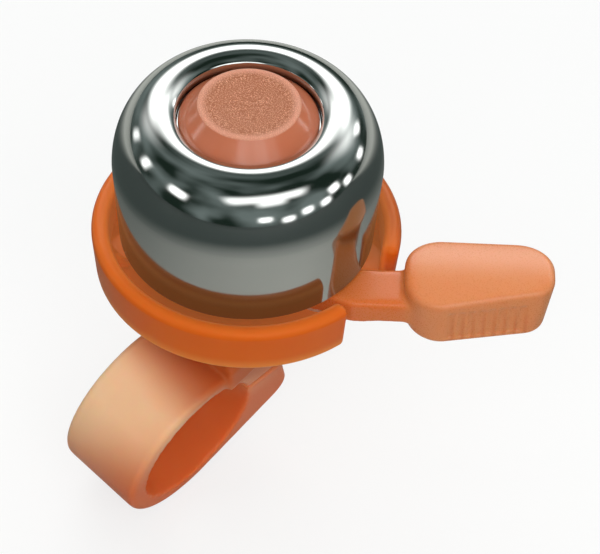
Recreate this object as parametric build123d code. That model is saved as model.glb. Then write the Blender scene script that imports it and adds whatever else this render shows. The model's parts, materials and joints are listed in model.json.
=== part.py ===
from build123d import *
import math
import os

# Thumb-lever bicycle bell on a split handlebar strap. Millimetres.
# Row frame: origin in the middle of the strap's bore, +Z up along the bell's axis, +X along the
# handlebar as seen from above, +Y from the handlebar towards the bell.

os.makedirs("parts", exist_ok=True)

# Handlebar strap
bar_radius = 11.1            # standard 22.2 mm handlebar grip area
strap_wall = 2.5
band_shift = 0.8             # the band is thicker opposite the ears by this offset of its circle
band_edge_round = 0.9
strap_width = 14.5
strap_lean = 11.7            # the soft strap leans this much about Y
ear_angle = 21.5             # the ears point this far above +Y
ear_length = 7.5             # from the bore's wall to the ears' rounded ends
ear_corner = 3.2
split_gap = 0.8
split_drop = 3.3             # how far the split falls from the bore to the ear ends
ear_roof = 1.2               # the ear's wall over the nut
neck_start = 4.0             # the neck's near side, from the bore's axis along Y
neck_depth = 13.0            # the neck's size along X where it meets the base
neck_wall = 2.2              # beyond the captive nut
neck_corner = 1.2
neck_nut_floor = 1.8         # under the captive nut
keel_drop = 4.0              # the neck's underside blends this far down into the band
keel_end_drop = 2.5
tenon_half = 4.5             # the square tenon on the neck that keeps the base from turning
tenon_height = 0.8
tenon_play = 0.1
nut_pocket_bottom = 3.3      # from the split's middle up to the screw's nut
nut_pocket_back = 3.2        # the pocket's blind end, past the screw's axis
head_recess = 1.8            # counterbore for the screw's head

# Bell axis and base
bell_beyond = 4.45           # from the band's outside to the bell's axis, along Y
rim_above = 14.5             # from the band's top to the guard's top edge
guard_wall = 2.7
rim_gap = 0.7                # between the dome at its widest and the guard's top edge
guard_height = 8.0
guard_draft = 0.7            # the guard is this much smaller in radius at the bottom
guard_top_round = 1.25
guard_bottom_round = 0.7
guard_end_round = 0.9        # upright edges where the guard stops at the lever's opening
floor_thickness = 2.0
pin_tail = 2.0               # the pin's boss goes this far below the floor
pin_boss_step = 0.4
gap_near_angle = -47.4       # the opening for the lever, measured from the lever's heading
gap_far_angle = -13.0
gap_floor_inset = 3.8        # how far the opening cuts into the floor
gusset_count = 10
gusset_first_angle = 15.0
gusset_pitch = 30.0
gusset_length = 2.2
gusset_thickness = 1.2
gusset_height = 2.4
gusset_chamfer = 2.0

# Dome
dome_radius = 20.0
dome_wall = 0.9
dome_flare = 0.9             # the dome is this much smaller in radius at the bottom
arm_to_dome = 0.5            # room between the lever's arm and the dome's edge
shoulder_start = 12.5
shoulder_width = 7.0
crown_height = 23.0
ridge_width = 2.4            # from the crown's highest ring in to the button's seat
ridge_fall = 0.85
lip_width = 0.1
seat_height = 20.4

# Button cap
cap_play = 0.3
cap_lift = 0.15
cap_edge = 0.5
cap_top_inset = 3.1
cap_height = 3.6
cap_wall = 1.3
cap_dish = 0.25
cap_round = 0.3
cap_rim_width = 0.9          # flat rim round the dish
cap_foot = 0.4               # straight part of the cap's inside
socket_wall = 1.2
socket_lift = 0.3

# Fasteners: radius, head radius, head height
bolt_radius = 2.0
bolt_length = 35.0
bolt_head_radius = 3.5
bolt_head_height = 1.5
bolt_nut_flats = 7.0
bolt_nut_height = 3.2
screw_radius = 1.5
screw_head_radius = 2.75
screw_head_height = 2.0
screw_nut_flats = 5.5
screw_nut_height = 2.4
screw_past_nut = 1.0
screw_head_round = 0.7
cross_width = 0.7
cross_depth = 0.8
cross_rim = 0.9              # from the cross's ends to the head's edge
bolt_past_nut = 0.3
bolt_lead = 0.4
key_radius = 1.5             # hexagon socket in the bolt's head
key_floor = 0.5
hole_play = 0.15
nut_play = 0.05
washer_thickness = 0.5
soft_washer_thickness = 1.0
soft_washer_radius = 6.0
sleeve_radius = 3.5
sleeve_boss_wall = 2.0
sleeve_boss_height = 4.0
grip = 0.05                  # the cap's socket is this much tighter than the bolt's head

# Lever: heading seen from above, then places in the lever's own frame,
# x outwards along the arm and y to its left, from the bell's axis
lever_heading = 40.0
pivot_out = 0.565            # the pin's place, as shares of the dome's radius
pivot_aside = 0.465
pin_radius = 1.5
running_play = 0.05
bush_wall = 0.65
boss_radius = 3.4
arm_thickness = 3.95
arm_near_reach = 5.4         # the neck's two sides, from the pin's middle
arm_far_reach = 2.1
arm_inner_width = 5.0
arm_inner_end = 3.0
face_play = 0.05             # between faces that slide on each other
neck_root_step = 2.6         # the neck widens by this beyond the pin
neck_flare = 1.7             # the neck widens by this at the pad
neck_reach = 4.4             # the neck plate runs this far into the pad
neck_round = 0.8
pad_gap = 0.2                # between the guard and the thumb pad
pad_length = 22.6
pad_far_reach = 6.4          # the pad's sides, from the pin's middle
pad_root_reach = 8.3
pad_tip_reach = 3.6
pad_top = 1.4
pad_bottom = -7.0
pad_draft = 1.5              # the pad's outer end is this much shorter at the bottom
pad_crown_radius = 26.0
pad_edge_round = 1.1
pad_foot_round = 0.7
pad_root_draft = 0.6
pad_near_draft = 0.4         # the pad's sides lean in this much at the bottom
pad_near_tip_draft = 1.2
pad_far_draft = 0.5
pad_far_tip_draft = 0.8
rib_count = 8
rib_pitch = 1.55
rib_radius = 0.9
rib_depth = 0.3
rib_first = 7.4              # from the pad's inner end to the first rib
rib_start = 0.12             # the ribs' ends, as shares of the pad's height
rib_share = 0.58

# Striker
upright_length = 3.0
upright_top = 4.6
leaf_thickness = 0.3
leaf_height = 3.0
leaf_middle = 2.5
leaf_reach = 9.0             # from the upright's inner end to the hammer's far side
hammer_radius = 2.3
hammer_length = 2.3
rivet_radius = 0.5
rivet_spread = 0.8           # the two rivets, above and below the leaf's middle
rivet_head_step = 0.25
rivet_head_height = 0.35
upright_thickness = 2.5
upright_inset = 2.4          # from the pin's middle to the upright's outer face
hammer_round = 0.8
hammer_inset = 0.8
hammer_hole_depth = 1.4
hammer_rivet_head = 0.5

# Return spring
wire_radius = 0.225
coil_radius = 2.15
coil_pitch = 0.6
coil_turns = 4.25
coil_lift = 0.5              # from the arm to the first coil
fixed_leg_past = 1.6         # the fixed leg, past the boss
moving_leg = 4.7
fixed_peg_gap = 1.0          # from the boss to the peg on the base
fixed_peg_past = 1.2
moving_peg_out = 3.9
moving_peg_past = 0.3
moving_peg_play = 0.025
peg_radius = 0.6
clip_thickness = 0.6
clip_radius = 2.6
groove_depth = 0.4
clip_mouth = 1.8
pin_past_clip = 0.6
pin_lead = 0.3

# Rubber stop for the lever
stop_gap = 0.1
stop_width = 2.2
stop_length = 3.0
stop_peg_radius = 0.8
stop_from_arm = 2.0          # from the arm's inner end
stop_below = 0.4             # under the arm's top
stop_round = 0.4
stop_peg_short = 0.2

# Worked out from the values above
floor_top = -guard_height + floor_thickness
strap_outer = bar_radius + strap_wall
bell_offset = strap_outer + bell_beyond
rim_height = strap_outer + rim_above
guard_inner = dome_radius + rim_gap
guard_radius = guard_inner + guard_wall
gap_floor_radius = guard_radius - gap_floor_inset
dome_bottom_radius = dome_radius - dome_flare
ridge_radius = dome_radius - shoulder_width
seat_radius = ridge_radius - ridge_width
cap_top_radius = seat_radius - cap_top_inset
pivot_x = dome_radius * pivot_out
pivot_y = -dome_radius * pivot_aside
arm_near = pivot_y - arm_near_reach
arm_far = pivot_y + arm_far_reach
pad_start = guard_radius + pad_gap
pad_end = pad_start + pad_length
pad_far = pivot_y + pad_far_reach
pad_near_root = pivot_y - pad_root_reach
pad_near_tip = pivot_y - pad_tip_reach
ear_end = bar_radius + ear_length
arm_bottom = floor_top + washer_thickness + face_play
arm_top = arm_bottom + arm_thickness
dome_bottom = arm_top + arm_to_dome
lean = math.radians(strap_lean)
tilt = math.radians(ear_angle)
strap_up = Vector(math.sin(lean), 0, math.cos(lean))
strap_axis = Vector(math.cos(lean), 0, -math.sin(lean))
ear_out = Vector(0, 1, 0) * math.cos(tilt) + strap_up * math.sin(tilt)
strap_plane = Plane(origin=(0, 0, 0), x_dir=ear_out, z_dir=strap_axis)
bell_place = Location((0, bell_offset, rim_height))
lever_place = bell_place * Location((0, 0, 0), (0, 0, lever_heading))


def tube(outer, inner, bottom, top):
    """A ring or washer standing on the bell's axis."""
    at = Pos(0, 0, bottom)
    up = (Align.CENTER, Align.CENTER, Align.MIN)
    solid = at * Cylinder(outer, top - bottom, align=up)
    if inner > 0:
        solid -= at * Cylinder(inner, top - bottom, align=up)
    return solid


def block(x0, x1, y0, y1, z0, z1):
    """A box from its limits."""
    corner = (Align.MIN, Align.MIN, Align.MIN)
    return Pos(x0, y0, z0) * Box(x1 - x0, y1 - y0, z1 - z0, align=corner)


def hexagon(flats, bottom, top):
    """A hexagonal prism on the bell's axis, with two flats facing +X and -X."""
    face = RegularPolygon(flats / 2, 6, major_radius=False, rotation=30)
    return extrude(Pos(0, 0, bottom) * face, top - bottom)


def slab(points, radii, bottom, height):
    """An outline with rounded corners, made a plate."""
    outline = FilletPolyline(*points, radius=radii, close=True)
    return extrude(Pos(0, 0, bottom) * make_face(outline), height)


def save(name, shape, place):
    """Put a piece in the row frame and write it."""
    piece = place * shape
    piece.label = name
    export_step(piece, f"parts/{name}.step")


# ---- Strap: a split band, its two ears and the neck that carries the bell
screw_at = bar_radius + ear_length / 2 - 0.5
screw_bore = screw_radius + hole_play
head_bore = screw_head_radius + hole_play
head_seat = -strap_outer + head_recess
nut_pocket_top = nut_pocket_bottom + screw_nut_height + 2 * nut_play
half_width = strap_width / 2
band = Pos(-band_shift, 0) * Circle(strap_outer)
ears = Polygon((-band_shift, -strap_outer), (ear_end, -strap_outer), (ear_end, nut_pocket_top + ear_roof),
               (bar_radius - 3, nut_pocket_top + 3.2), (-band_shift, 0), align=None)
low_end = ears.vertices().sort_by(lambda v: v.X - v.Y)[-1]
section = band + fillet(low_end, ear_corner)
strap = extrude(section, half_width, both=True)
strap = fillet(strap.faces().sort_by(Axis.Z)[-1].edges(), band_edge_round)
strap = fillet(strap.faces().sort_by(Axis.Z)[0].edges(), band_edge_round)
strap = strap_plane * strap
neck_far = bell_offset + bolt_nut_flats / 2 + neck_wall
neck_top = rim_height - guard_height
nut_bottom = rim_height + seat_height + washer_thickness - bolt_length + bolt_past_nut
neck_floor = nut_bottom - neck_nut_floor
foot_shift = neck_floor * math.tan(lean)
foot_width = half_width * 2 / math.cos(lean)
foot_size = neck_far - neck_start
foot_centre = (neck_start + neck_far) / 2
foot = Pos(foot_shift, foot_centre, neck_floor) * RectangleRounded(foot_width, foot_size, neck_corner)
top = Pos(0, foot_centre, neck_top) * RectangleRounded(neck_depth, foot_size, neck_corner)
strap += loft([foot, top])
keel_side = Polygon((neck_start, neck_floor - keel_drop), (neck_far - 7, neck_floor - keel_end_drop),
                    (neck_far - 1.5, neck_floor), (neck_start, neck_floor), align=None)
keel = extrude(Plane.YZ * keel_side, foot_width / 2, both=True)
strap += Pos(foot_shift, 0, 0) * keel
strap += block(-tenon_half, tenon_half, bell_offset - tenon_half, bell_offset + tenon_half,
               neck_top, neck_top + tenon_height)
bore = strap_plane * extrude(Circle(bar_radius), strap_width, both=True)
strap -= bore
split_angle = math.degrees(math.atan2(-split_drop, ear_end - bar_radius))
split_long = ear_length * 2
split = Pos(bar_radius, 0, 0) * Rot(0, 0, split_angle) * Box(split_long, split_gap, strap_width * 2)
strap -= strap_plane * split
ear_place = strap_plane.location * Pos(screw_at, 0, 0) * Rot(-90, 0, 0)
# In ear_place, +Z runs along the screw from the lower ear up to the nut.
strap -= ear_place * tube(screw_bore, 0, -strap_outer - 1, nut_pocket_top + 1.5)
strap -= ear_place * tube(head_bore, 0, -strap_outer - 2, head_seat)
pocket_half = screw_nut_flats / 2 + nut_play
pocket = Box(2 * pocket_half, nut_pocket_top - nut_pocket_bottom, half_width + nut_pocket_back,
             align=(Align.CENTER, Align.MIN, Align.MAX))
strap -= strap_plane * Pos(screw_at, nut_pocket_bottom, nut_pocket_back) * pocket
strap -= Pos(0, bell_offset, 0) * tube(bolt_radius + hole_play, 0, neck_floor - 4, neck_top + 2)
slot_half = bolt_nut_flats / 2 + nut_play
strap -= block(-slot_half, slot_half, bell_offset - slot_half * 1.16, neck_far + 1,
               nut_bottom - nut_play, nut_bottom + bolt_nut_height + nut_play)
save("clamp_strap", strap, Location())

# ---- Clamp screw, its washer and its captive nut
washer_top = head_seat
washer_bottom = washer_top - washer_thickness
head_bottom = washer_bottom - screw_head_height
screw_end = nut_pocket_top + screw_past_nut
screw = tube(screw_radius, 0, washer_bottom, screw_end)
head = tube(screw_head_radius, 0, head_bottom, washer_bottom)
head = fillet(head.faces().sort_by(Axis.Z)[0].edges(), screw_head_round)
slot = Box(4 * screw_head_radius, cross_width, 2 * cross_depth)
cross = Pos(0, 0, head_bottom) * (slot + Rot(0, 0, 90) * slot)
limit = tube(screw_head_radius - cross_rim, 0, head_bottom - 1, washer_bottom)
save("clamp_screw", screw + head - (cross & limit), ear_place)
save("clamp_washer", tube(screw_head_radius, screw_radius, washer_bottom, washer_top), ear_place)
clamp_nut_bottom = nut_pocket_bottom + nut_play
clamp_nut = hexagon(screw_nut_flats, clamp_nut_bottom, clamp_nut_bottom + screw_nut_height)
clamp_nut -= tube(screw_radius, 0, clamp_nut_bottom - 1, nut_pocket_top + 1)
save("clamp_nut", clamp_nut, ear_place)

# ---- Base: floor, C-shaped guard, gussets, and bosses for the sleeve, pin, spring and stop
guard_bottom_radius = guard_radius - guard_draft
guard_inner_bottom = guard_inner - guard_draft / 2
guard_side = make_face(Polyline(
    (0, -guard_height), (guard_bottom_radius, -guard_height), (guard_radius, 0),
    (guard_inner, 0), (guard_inner_bottom, floor_top), (0, floor_top), close=True))
top_corners = guard_side.vertices().filter_by(lambda v: v.Y > -0.01)
guard_side = fillet(top_corners, guard_top_round)
low_corner = guard_side.vertices().sort_by(lambda v: v.X - v.Y)[-1]
guard_side = fillet(low_corner, guard_bottom_round)
base = revolve(Plane.XZ * guard_side, Axis.Z)
reach = 2 * guard_radius
wedge = Polygon(
    (0, 0),
    (reach * math.cos(math.radians(gap_near_angle)), reach * math.sin(math.radians(gap_near_angle))),
    (reach * math.cos(math.radians(gap_far_angle)), reach * math.sin(math.radians(gap_far_angle))),
    align=None)
opening = extrude(Pos(0, 0, -guard_height - 1) * wedge, guard_height + 2)
opening -= tube(gap_floor_radius, 0, -guard_height - 2, 2)
base -= opening
end_edges = base.edges().filter_by(lambda e: e.center().Z > floor_top and e.length > guard_wall * 0.5
                                   and e.geom_type == GeomType.LINE and abs(e.tangent_at(0).Z) > 0.9)
end_edges = end_edges.filter_by(lambda e: math.hypot(e.center().X, e.center().Y) > guard_radius - 1)
base = fillet(end_edges, guard_end_round)
for index in range(gusset_count):
    angle = gusset_first_angle + index * gusset_pitch
    gusset = block(guard_inner_bottom - gusset_length, guard_inner + 0.5, -gusset_thickness / 2,
                   gusset_thickness / 2, floor_top, floor_top + gusset_height)
    gusset -= Pos(guard_inner_bottom - gusset_length, 0, floor_top + gusset_height) * (
        Rot(0, 45, 0) * Box(gusset_chamfer, 2 * gusset_thickness, gusset_chamfer))
    base += Rot(0, 0, angle) * gusset
boss_outer = sleeve_radius + sleeve_boss_wall
base += tube(boss_outer, 0, floor_top, floor_top + sleeve_boss_height)
base -= tube(sleeve_radius + hole_play, 0, floor_top, floor_top + sleeve_boss_height)
base -= tube(bolt_radius + hole_play, 0, -guard_height - 1, floor_top + 1)
pivot = Pos(pivot_x, pivot_y, 0)
pin_bottom = -guard_height - pin_tail
base += pivot * tube(boss_radius - pin_boss_step, 0, pin_bottom, -guard_height)
base -= pivot * tube(pin_radius, 0, pin_bottom - 1, 0)
spring_peg_y = pivot_y + boss_radius + fixed_peg_gap
spring_peg = Pos(pivot_x + coil_radius - wire_radius - peg_radius - face_play, spring_peg_y, 0)
coil_bottom = arm_top + coil_lift
base += spring_peg * tube(peg_radius, 0, floor_top, coil_bottom + fixed_peg_past)
stop_x = arm_inner_end + stop_from_arm
stop_y = pivot_y + arm_inner_width / 2 + stop_gap
stop_peg = Pos(stop_x + stop_length / 2, stop_y + stop_width / 2, 0)
base -= stop_peg * tube(stop_peg_radius, 0, -guard_height, 0)
recess_half = tenon_half + tenon_play
recess = block(-recess_half, recess_half, -recess_half, recess_half,
               -guard_height - 1, -guard_height + tenon_height + tenon_play)
base -= Rot(0, 0, -lever_heading) * recess
save("base", base, lever_place)

# ---- Rubber stop, with a peg in the floor
stop = block(stop_x, stop_x + stop_length, stop_y, stop_y + stop_width, floor_top, arm_top - stop_below)
stop = fillet(stop.edges().filter_by(Axis.Z), stop_round)
stop += stop_peg * tube(stop_peg_radius, 0, -guard_height + stop_peg_short, floor_top)
save("stop_bumper", stop, lever_place)

# ---- Centre stack: sleeve, soft washer, dome, steel washer, bolt and nut
seat_under = seat_height - dome_wall
sleeve_top = seat_under - soft_washer_thickness
save("post_sleeve", tube(sleeve_radius, bolt_radius + hole_play, floor_top, sleeve_top), bell_place)
lower_washer = tube(soft_washer_radius, bolt_radius + hole_play, sleeve_top, seat_under)
save("lower_dome_washer", lower_washer, bell_place)

shoulder_rise = crown_height - shoulder_start
lip = (seat_radius + lip_width, crown_height - ridge_fall)
outer_wall = Line((dome_bottom_radius, dome_bottom), (dome_radius, shoulder_start))
outer_shoulder = EllipticalCenterArc((ridge_radius, shoulder_start), shoulder_width, shoulder_rise,
                                     start_angle=0, arc_size=90)
ridge = TangentArc((ridge_radius, crown_height), lip, tangent=(-1, 0))
slope = Line(lip, (seat_radius, seat_height))
seat = Line((seat_radius, seat_height), (bolt_radius + hole_play, seat_height))
hole = Line((bolt_radius + hole_play, seat_height), (bolt_radius + hole_play, seat_under))
under_seat = Line((bolt_radius + hole_play, seat_under), (seat_radius + dome_wall, seat_under))
under_slope = Line((seat_radius + dome_wall, seat_under), (ridge_radius, crown_height - dome_wall))
inner_shoulder = EllipticalCenterArc((ridge_radius, shoulder_start), shoulder_width - dome_wall,
                                     shoulder_rise - dome_wall, start_angle=0, arc_size=90)
inner_wall = Line((dome_radius - dome_wall, shoulder_start), (dome_bottom_radius - dome_wall, dome_bottom))
edge = Line((dome_bottom_radius - dome_wall, dome_bottom), (dome_bottom_radius, dome_bottom))
dome_side = make_face([outer_wall, outer_shoulder, ridge, slope, seat, hole, under_seat,
                       under_slope, inner_shoulder, inner_wall, edge])
dome = revolve(Plane.XZ * dome_side, Axis.Z)
save("dome", dome, bell_place)

bolt_seat = seat_height + washer_thickness
upper_washer = tube(bolt_head_radius + 1.0, bolt_radius, seat_height, bolt_seat)
save("upper_dome_washer", upper_washer, bell_place)
bolt = tube(bolt_radius, 0, bolt_seat - bolt_length, bolt_seat)
bolt += tube(bolt_head_radius, 0, bolt_seat, bolt_seat + bolt_head_height)
bolt = chamfer(bolt.faces().sort_by(Axis.Z)[0].edges(), bolt_lead)
bolt -= extrude(Pos(0, 0, bolt_seat + key_floor) * RegularPolygon(key_radius, 6), bolt_head_height)
save("center_bolt", bolt, bell_place)
bell_nut_bottom = nut_bottom - rim_height
bolt_nut = hexagon(bolt_nut_flats, bell_nut_bottom, bell_nut_bottom + bolt_nut_height)
bolt_nut -= tube(bolt_radius, 0, bell_nut_bottom - 1, bell_nut_bottom + bolt_nut_height + 1)
save("bolt_nut", bolt_nut, bell_place)

# ---- Button cap: a bevelled cap that grips the bolt's head
cap_bottom = seat_height + cap_lift
cap_radius = seat_radius - cap_play
cap_top = cap_bottom + cap_height
cap_side = make_face(Polyline(
    (0, cap_bottom), (cap_radius, cap_bottom), (cap_radius, cap_bottom + cap_edge),
    (cap_top_radius, cap_top), (0, cap_top), close=True))
cap_rim = cap_side.vertices().filter_by(lambda v: v.X > 1 and v.Y > cap_bottom + cap_edge - 0.01)
cap_side = fillet(cap_rim, cap_round)
cap = revolve(Plane.XZ * cap_side, Axis.Z)
dish_radius = ((cap_top_radius - cap_rim_width) ** 2 + cap_dish ** 2) / (2 * cap_dish)
cap -= Pos(0, 0, cap_top - cap_dish + dish_radius) * Sphere(dish_radius)
cap_inside = make_face(Polyline(
    (0, cap_bottom), (cap_radius - cap_wall, cap_bottom), (cap_radius - cap_wall, cap_bottom + cap_foot),
    (cap_top_radius - cap_wall + cap_foot, cap_top - cap_wall), (0, cap_top - cap_wall), close=True))
cavity = revolve(Plane.XZ * cap_inside, Axis.Z)
socket_bottom = bolt_seat + socket_lift
cavity -= tube(bolt_head_radius + socket_wall, 0, socket_bottom, cap_top)
cap -= cavity
head_top = bolt_seat + bolt_head_height
cap -= tube(bolt_head_radius - grip, 0, cap_bottom, head_top + 0.05)
save("button_cap", cap, bell_place)

# ---- Lever: boss, inner arm, neck through the guard's opening, and thumb pad
top_outline = [(pad_start, pad_near_root), (pad_end, pad_near_tip), (pad_end, pad_far), (pad_start, pad_far)]
low_start = pad_start + pad_root_draft
low_end = pad_end - pad_draft
low_near_root = pad_near_root - pad_near_draft
low_outline = [(low_start, low_near_root), (low_end, pad_near_tip - pad_near_tip_draft),
               (low_end, pad_far - pad_far_tip_draft), (low_start, pad_far - pad_far_draft)]
corner_radii = [5.0, 3.6, 5.6, 5.6]
low_face = Pos(0, 0, pad_bottom) * make_face(FilletPolyline(*low_outline, radius=corner_radii, close=True))
top_face = Pos(0, 0, pad_top) * make_face(FilletPolyline(*top_outline, radius=corner_radii, close=True))
pad = loft([low_face, top_face], ruled=True)
crown_y = (pad_far + (pad_near_root + pad_near_tip) / 2) / 2
crown = Pos((pad_start + pad_end) / 2, crown_y, pad_top - pad_crown_radius) * (
    Rot(0, 90, 0) * Cylinder(pad_crown_radius, 2 * (pad_end - pad_start)))
pad &= crown
pad = fillet(pad.faces().sort_by(Axis.Z)[-1].edges(), pad_edge_round)
pad = fillet(pad.faces().sort_by(Axis.Z)[0].edges(), pad_foot_round)
for index in range(rib_count):
    share = (rib_first + index * rib_pitch) / pad_length
    foot = Vector(low_start + share * (low_end - low_start),
                  low_near_root + share * (pad_near_tip - pad_near_tip_draft - low_near_root), pad_bottom)
    crest = Vector(pad_start + share * (pad_end - pad_start),
                   pad_near_root + share * (pad_near_tip - pad_near_root), pad_top)
    away = Vector(0, rib_depth - rib_radius, 0)
    run = crest - foot
    start = foot + away + run * rib_start
    groove = Plane(origin=start, z_dir=run) * Cylinder(
        rib_radius, run.length * rib_share, align=(Align.CENTER, Align.CENTER, Align.MIN))
    pad -= groove
neck_end = pad_start + neck_reach
neck_plate = slab(
    [(pivot_x - 1.5, arm_near + neck_root_step), (pivot_x + 4.7, arm_near), (pad_start + 0.6, arm_near),
     (neck_end, arm_near - neck_flare), (neck_end, pad_far - 1.3), (pad_start + 0.2, arm_far + 0.2),
     (pivot_x + 7.7, arm_far), (pivot_x, arm_far)],
    [0.8, 3.0, 3.0, 0.5, 0.5, 2.0, 3.0, 0.8], arm_bottom, arm_thickness)
neck_plate = fillet(neck_plate.faces().sort_by(Axis.Z)[-1].edges().filter_by(GeomType.LINE).sort_by(
    Axis.Y)[0], neck_round)
lever = pad + neck_plate
lever += pivot * tube(boss_radius, 0, arm_bottom, arm_top)
lever += block(arm_inner_end, pivot_x, pivot_y - arm_inner_width / 2, pivot_y + arm_inner_width / 2,
               arm_bottom, arm_top)
upright_face = pivot_y - upright_inset
lever += block(arm_inner_end, arm_inner_end + upright_length, upright_face, upright_face + upright_thickness,
               arm_bottom, upright_top)
lever_peg_y = pivot_y - coil_radius + wire_radius + peg_radius + moving_peg_play
lever_peg = Pos(pivot_x - moving_peg_out, lever_peg_y, 0)
lever += lever_peg * tube(peg_radius, 0, arm_top, coil_bottom + coil_pitch * coil_turns + moving_peg_past)
bush_radius = pin_radius + running_play + bush_wall
lever -= pivot * tube(bush_radius, 0, arm_bottom - 1, arm_top + 1)
rivet_x = arm_inner_end + upright_length / 2
rivet_heights = [leaf_middle - rivet_spread, leaf_middle + rivet_spread]
for height in rivet_heights:
    lever -= Pos(rivet_x, upright_face, height) * Rot(90, 0, 0) * Cylinder(rivet_radius, 6)
save("lever", lever, lever_place)

# ---- Pivot: pin, bush, nylon washer and E-clip
save("pivot_bush", pivot * tube(bush_radius, pin_radius + running_play, arm_bottom, arm_top), lever_place)
clip_bottom = coil_bottom + coil_pitch * coil_turns + 2 * wire_radius
clip_top = clip_bottom + clip_thickness
pin = tube(pin_radius, 0, pin_bottom, clip_top + pin_past_clip)
pin -= tube(pin_radius + 1, pin_radius - groove_depth, clip_bottom, clip_top)
pin = chamfer(pin.faces().sort_by(Axis.Z)[-1].edges(), pin_lead)
save("pivot_pin", pivot * pin, lever_place)
pivot_washer = tube(boss_radius - 0.2, pin_radius + hole_play, floor_top, floor_top + washer_thickness)
save("pivot_washer", pivot * pivot_washer, lever_place)
clip = tube(clip_radius, pin_radius - groove_depth, clip_bottom, clip_top)
clip -= block(0, clip_radius + 1, -clip_mouth / 2, clip_mouth / 2, clip_bottom - 1, clip_top + 1)
save("pivot_clip", pivot * clip, lever_place)

# ---- Return spring: a torsion coil round the pin, one leg on the base's peg, one on the lever's
coil_height = coil_pitch * coil_turns
helix = Helix(pitch=coil_pitch, height=coil_height, radius=coil_radius, lefthand=True)
fixed_end = helix @ 0 - (helix % 0) * (boss_radius + fixed_leg_past)
moving_end = helix @ 1 + (helix % 1) * moving_leg
wire = Wire([Line(fixed_end, helix @ 0), helix, Line(helix @ 1, moving_end)])
spring = sweep(Plane(origin=fixed_end, z_dir=helix % 0) * Circle(wire_radius), path=wire)
save("return_spring", pivot * Pos(0, 0, coil_bottom) * spring, lever_place)

# ---- Striker: leaf spring riveted to the lever's upright, with the hammer at its free end
leaf_face = upright_face - leaf_thickness
hammer_x = arm_inner_end - leaf_reach + hammer_radius - hammer_inset
leaf = block(arm_inner_end - leaf_reach, arm_inner_end + upright_length, leaf_face, upright_face,
             leaf_middle - leaf_height / 2, leaf_middle + leaf_height / 2)
for height in rivet_heights:
    leaf -= Pos(rivet_x, upright_face, height) * Rot(90, 0, 0) * Cylinder(rivet_radius, 6)
leaf -= Pos(hammer_x, upright_face, leaf_middle) * Rot(90, 0, 0) * Cylinder(rivet_radius, 6)
save("leaf_spring", leaf, lever_place)

hammer = Pos(hammer_x, leaf_face, leaf_middle) * Rot(90, 0, 0) * tube(hammer_radius, 0, 0, hammer_length)
hammer = fillet(hammer.faces().sort_by(Axis.Y)[0].edges(), hammer_round)
stem = Pos(hammer_x, leaf_face, leaf_middle) * Rot(90, 0, 0)
hammer -= stem * tube(rivet_radius, 0, -1, hammer_hole_depth)
save("hammer", hammer, lever_place)
hammer_rivet = stem * tube(rivet_radius, 0, -leaf_thickness, hammer_hole_depth)
hammer_rivet += stem * tube(2 * rivet_radius, 0, -leaf_thickness - hammer_rivet_head, -leaf_thickness)
save("hammer_rivet", hammer_rivet, lever_place)

leaf_rivets = []
for height in rivet_heights:
    through = Pos(rivet_x, upright_face, height) * Rot(90, 0, 0)
    head_radius = rivet_radius + rivet_head_step
    rivet = through * tube(rivet_radius, 0, -upright_thickness, leaf_thickness)
    rivet += through * tube(head_radius, 0, leaf_thickness, leaf_thickness + rivet_head_height)
    rivet += through * tube(head_radius, 0, -upright_thickness - rivet_head_height, -upright_thickness)
    leaf_rivets.append(lever_place * rivet)
save("leaf_rivets", Compound(children=leaf_rivets), Location())
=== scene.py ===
import json
import math

import bpy
from mathutils import Matrix, Vector

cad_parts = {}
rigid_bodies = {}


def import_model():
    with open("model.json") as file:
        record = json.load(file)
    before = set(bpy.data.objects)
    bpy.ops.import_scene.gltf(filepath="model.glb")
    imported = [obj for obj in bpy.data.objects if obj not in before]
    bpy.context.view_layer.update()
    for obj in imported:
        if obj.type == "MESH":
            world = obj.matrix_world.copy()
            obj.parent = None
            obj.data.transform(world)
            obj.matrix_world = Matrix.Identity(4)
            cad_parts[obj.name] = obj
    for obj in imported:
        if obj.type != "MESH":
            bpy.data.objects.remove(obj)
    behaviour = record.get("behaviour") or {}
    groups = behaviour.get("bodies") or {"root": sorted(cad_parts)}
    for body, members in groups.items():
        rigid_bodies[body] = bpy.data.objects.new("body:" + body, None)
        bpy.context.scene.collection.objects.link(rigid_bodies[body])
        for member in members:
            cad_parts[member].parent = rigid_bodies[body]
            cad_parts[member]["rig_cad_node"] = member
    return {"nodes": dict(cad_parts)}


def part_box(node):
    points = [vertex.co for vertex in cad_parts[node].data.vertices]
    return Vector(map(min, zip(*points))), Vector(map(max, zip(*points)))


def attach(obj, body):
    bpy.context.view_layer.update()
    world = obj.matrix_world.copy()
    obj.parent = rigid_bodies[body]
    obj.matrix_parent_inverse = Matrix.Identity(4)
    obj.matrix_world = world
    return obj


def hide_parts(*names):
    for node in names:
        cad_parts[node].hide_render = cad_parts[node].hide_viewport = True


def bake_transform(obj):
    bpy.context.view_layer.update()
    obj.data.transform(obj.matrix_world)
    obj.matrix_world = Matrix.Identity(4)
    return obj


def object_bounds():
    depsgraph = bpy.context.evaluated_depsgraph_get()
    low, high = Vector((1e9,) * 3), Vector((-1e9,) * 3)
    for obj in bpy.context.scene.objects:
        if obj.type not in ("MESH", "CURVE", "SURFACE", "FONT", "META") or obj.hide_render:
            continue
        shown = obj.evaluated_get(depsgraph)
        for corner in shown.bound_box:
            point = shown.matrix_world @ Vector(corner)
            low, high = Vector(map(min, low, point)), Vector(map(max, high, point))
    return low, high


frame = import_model()

cad_low, cad_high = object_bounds()
cad = frame["nodes"]
mm = 0.001

# ---- Guard base
# The moulded tray under the bell: a C-shaped wall round the dome, a floor, gussets and bosses.
# It is one shot of clear orange plastic; its edges and inside glow with painted light, and its inside takes
# colour from itself.


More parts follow.
